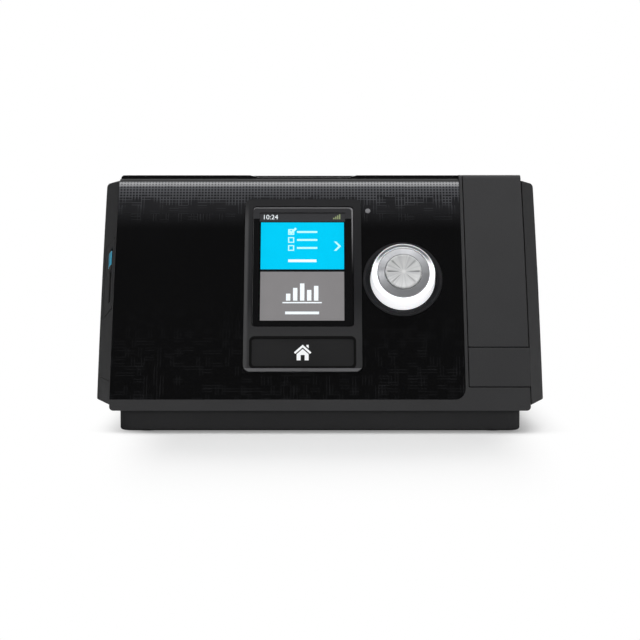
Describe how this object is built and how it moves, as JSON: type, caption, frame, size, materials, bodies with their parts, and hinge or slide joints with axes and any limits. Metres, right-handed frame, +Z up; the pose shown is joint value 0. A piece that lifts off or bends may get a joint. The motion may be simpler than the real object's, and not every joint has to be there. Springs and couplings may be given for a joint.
{
  "type": "cpap machine",
  "caption": "Bedside positive-airway-pressure machine: leaning glossy front with screen, home key and push dial, slide-out water tub with lid, rear air outlet.",
  "frame": {"origin": "on the table, under the middle of the machine's bounding box", "axes": "+X to the user's right, along the width; +Y to the rear; +Z up"},
  "size_m": [0.205, 0.15, 0.116],
  "materials": {
    "case_abs": "fine moulded texture, near-black grey",
    "gloss_panel": "high gloss black",
    "gloss_clear": "clear hard-coated window",
    "bezel_black": "satin black",
    "button_black": "satin black",
    "skirt_white": "translucent white",
    "ring_dark": "dark chrome",
    "cap_aluminium": "spun, radial glints",
    "card_blue": "blue",
    "board_green": "solder mask",
    "steel": "plain steel",
    "brass": "plain brass",
    "rubber_black": "matt rubber",
    "silicone_grey": "translucent silicone",
    "foam_grey": "open-cell foam",
    "filter_white": "pleated fibre",
    "lcd_glass": "lit display",
    "inner_plastic": "moulded",
    "tub_clear": "clear polycarbonate",
    "plate_metal": "rolled plate"
  },
  "bodies": {
    "housing": {"lower_housing": "case_abs", "main_housing": "case_abs", "left_end_cover": "case_abs", "front_panel": "gloss_panel", "screen_bezel": "bezel_black", "display_window": "gloss_clear", "lcd_module": "lcd_glass", "display_circuit_board": "board_green", "board_screws": "steel", "push_switches": "steel", "light_sensor_lens": "gloss_clear", "top_cover": "gloss_panel", "start_circuit_board": "board_green", "dial_well": "bezel_black", "dial_encoder": "steel", "card_socket": "steel", "air_filter": "filter_white", "data_port": "inner_plastic", "power_inlet": "inner_plastic", "power_contacts": "brass", "air_outlet": "case_abs", "return_duct": "silicone_grey", "hinge_pins": "steel", "port_seals": "silicone_grey", "heater_plate": "plate_metal", "blower_base": "inner_plastic", "blower_cover": "inner_plastic", "motor_stator": "steel", "motor_bearings": "steel", "motor_housing": "plate_metal", "blower_mounts": "silicone_grey", "supply_duct": "silicone_grey", "flow_sensor": "inner_plastic", "inlet_muffler": "foam_grey", "main_circuit_board": "board_green", "rubber_feet": "rubber_black", "housing_screws": "steel"},
    "home_key": {"home_button": "button_black"},
    "start_key": {"start_button": "button_black"},
    "dial_push": {"dial_plunger": "steel"},
    "dial": {"dial_skirt": "skirt_white", "dial_ring": "ring_dark", "dial_cap": "cap_aluminium"},
    "card_flap": {"card_door": "case_abs"},
    "card": {"memory_card": "card_blue"},
    "filter_flap": {"filter_cover": "case_abs"},
    "port_flap": {"port_cover": "case_abs"},
    "blower_rotor": {"impeller": "inner_plastic", "motor_shaft": "steel", "rotor_magnet": "steel"},
    "water_tub": {"tub_base": "tub_clear", "tub_heat_plate": "plate_metal", "tub_roof": "tub_clear", "tub_seal": "silicone_grey", "tub_front_plate": "case_abs", "tub_rear_cover": "case_abs", "tub_end_cover": "case_abs", "tub_window": "tub_clear", "lid_pin": "steel"},
    "tub_cover": {"tub_lid": "case_abs"}
  },
  "joints": [
    {"name": "home_press", "type": "slide", "parent": "housing", "child": "home_key", "axis": [0, 0.9326, -0.3608], "range_m": [0, 0.0008], "stiffness_N_per_m": 1500},
    {"name": "start_press", "type": "slide", "parent": "housing", "child": "start_key", "axis": [0, 0, -1], "range_m": [0, 0.0008], "stiffness_N_per_m": 1500},
    {"name": "dial_press", "type": "slide", "parent": "housing", "child": "dial_push", "axis": [0, 0.9147, -0.4042], "range_m": [0, 0.0008], "stiffness_N_per_m": 2500},
    {"name": "dial_turn", "type": "hinge", "parent": "dial_push", "child": "dial", "pos_m": [0.0378, -0.05225, 0.0682], "axis": [0, -0.9147, 0.4042], "continuous": true},
    {"name": "card_door_hinge", "type": "hinge", "parent": "housing", "child": "card_flap", "pos_m": [-0.09967, -0.03609, 0.06557], "axis": [0, -0.4042, -0.9147], "range_deg": [0, 95]},
    {"name": "card_push", "type": "slide", "parent": "housing", "child": "card", "axis": [1, 0, 0], "range_m": [0, 0.001], "stiffness_N_per_m": 1000},
    {"name": "filter_cover_hinge", "type": "hinge", "parent": "housing", "child": "filter_flap", "pos_m": [-0.088, 0.059, 0.071], "axis": [0, 0, 1], "range_deg": [0, 95]},
    {"name": "port_cover_hinge", "type": "hinge", "parent": "housing", "child": "port_flap", "pos_m": [-0.029, 0.059, 0.034], "axis": [-1, 0, 0], "range_deg": [0, 95]},
    {"name": "blower_spin", "type": "hinge", "parent": "housing", "child": "blower_rotor", "pos_m": [-0.032, 0.01825, 0.075], "axis": [0, 0, 1], "continuous": true},
    {"name": "tub_slide", "type": "slide", "parent": "housing", "child": "water_tub", "axis": [1, 0, 0], "range_m": [0, 0.1]},
    {"name": "tub_lid_hinge", "type": "hinge", "parent": "water_tub", "child": "tub_cover", "pos_m": [0.08065, 0.0588, 0.104], "axis": [-1, 0, 0], "range_deg": [0, 90]}
  ]
}
